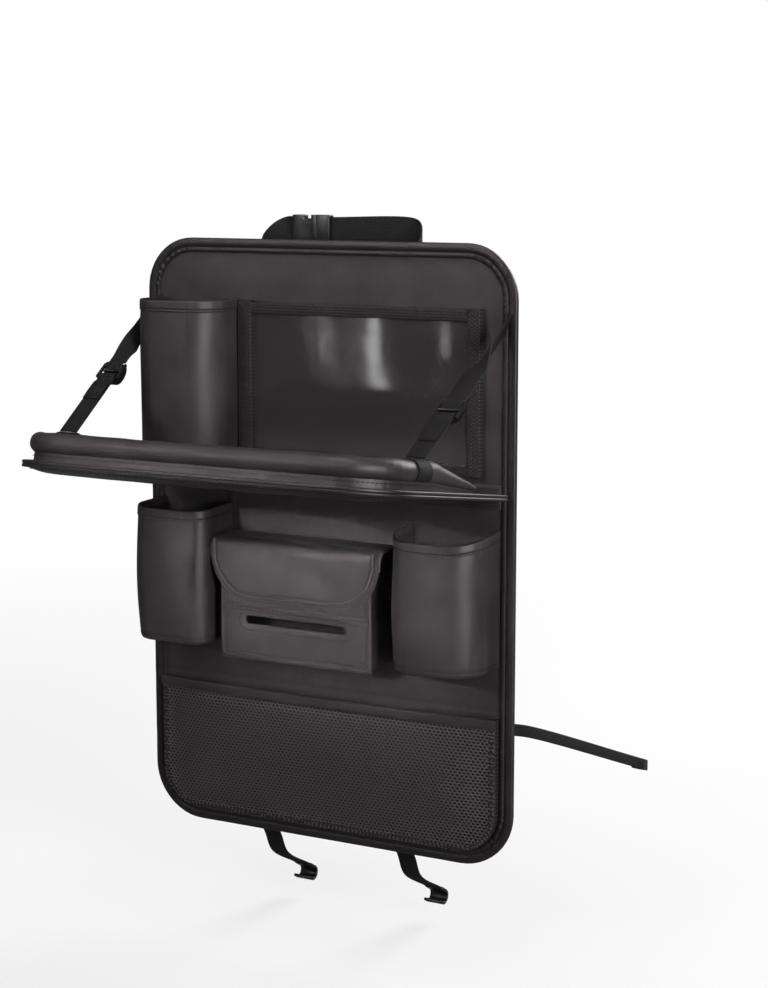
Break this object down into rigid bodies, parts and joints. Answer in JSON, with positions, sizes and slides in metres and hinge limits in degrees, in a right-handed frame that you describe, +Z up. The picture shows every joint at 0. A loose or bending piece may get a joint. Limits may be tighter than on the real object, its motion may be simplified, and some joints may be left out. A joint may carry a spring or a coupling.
{
  "type": "car seat back organizer",
  "caption": "Black padded leather-look seat back organizer with a fold-up tray, tablet window, bottle pockets, a lidded tissue box and a mesh pouch, strapped to the headrest and seat.",
  "frame": {"origin": "centre of the padded panel's rear face, which lies against the seat back", "axes": "+X to the right as seen from behind the seat, +Y out of the panel's rear towards the seat, +Z up along the panel"},
  "size_m": [0.444, 0.5748, 0.7049],
  "materials": {
    "leather": "satin",
    "binding": "satin",
    "webbing": "matte",
    "mesh": "matte",
    "plastic": "satin",
    "clear_film": "gloss"
  },
  "bodies": {
    "organizer": {"back_panel": "leather", "upper_bottle_pocket": "leather", "cup_pocket": "leather", "lower_bottle_pocket": "leather", "tray_hinge_strip": "leather", "tissue_box": "leather", "edge_binding": "binding", "tablet_left_band": "binding", "tablet_right_band": "binding", "tablet_top_band": "binding", "tablet_bottom_band": "binding", "tissue_slot_trim": "binding", "mesh_gusset": "binding", "mesh_top_binding": "binding", "headrest_strap_left": "webbing", "headrest_strap_right": "webbing", "tray_strap_left": "webbing", "tray_strap_right": "webbing", "side_strap_left": "webbing", "side_strap_right": "webbing", "foot_strap_left": "webbing", "foot_strap_right": "webbing", "mesh_panel": "mesh", "buckle_socket": "plastic", "buckle_plug": "plastic", "side_hook_left": "plastic", "side_hook_right": "plastic", "foot_hook_left": "plastic", "foot_hook_right": "plastic", "tablet_window": "clear_film"},
    "tray": {"tray_board": "leather", "tray_lip": "binding", "tray_rim_pad": "leather", "strap_patch_left": "webbing", "strap_patch_right": "webbing"},
    "flap": {"tissue_flap": "leather", "tissue_flap_piping": "binding"},
    "slider_left": {"strap_slider_left": "plastic"},
    "slider_right": {"strap_slider_right": "plastic"}
  },
  "joints": [
    {"name": "tray_fold", "type": "hinge", "parent": "organizer", "child": "tray", "pos_m": [0, -0.015, 0.066], "axis": [-1, 0, 0], "range_deg": [0, 60], "deforming": ["tray_strap_left", "tray_strap_right", "upper_bottle_pocket"]},
    {"name": "tissue_flap_lift", "type": "hinge", "parent": "organizer", "child": "flap", "pos_m": [0, -0.0078, 0.0077], "axis": [-1, 0, 0], "range_deg": [0, 85]},
    {"name": "slider_left_follow", "type": "hinge", "parent": "organizer", "child": "slider_left", "pos_m": [0, -0.015, 0.066], "axis": [-1, 0, 0], "range_deg": [0, 34]},
    {"name": "slider_right_follow", "type": "hinge", "parent": "organizer", "child": "slider_right", "pos_m": [0, -0.015, 0.066], "axis": [-1, 0, 0], "range_deg": [0, 46]}
  ],
  "couplings": [
    {"joint": "slider_left_follow", "follows": "tray_fold", "ratio": 0.55},
    {"joint": "slider_right_follow", "follows": "tray_fold", "ratio": 0.74}
  ]
}
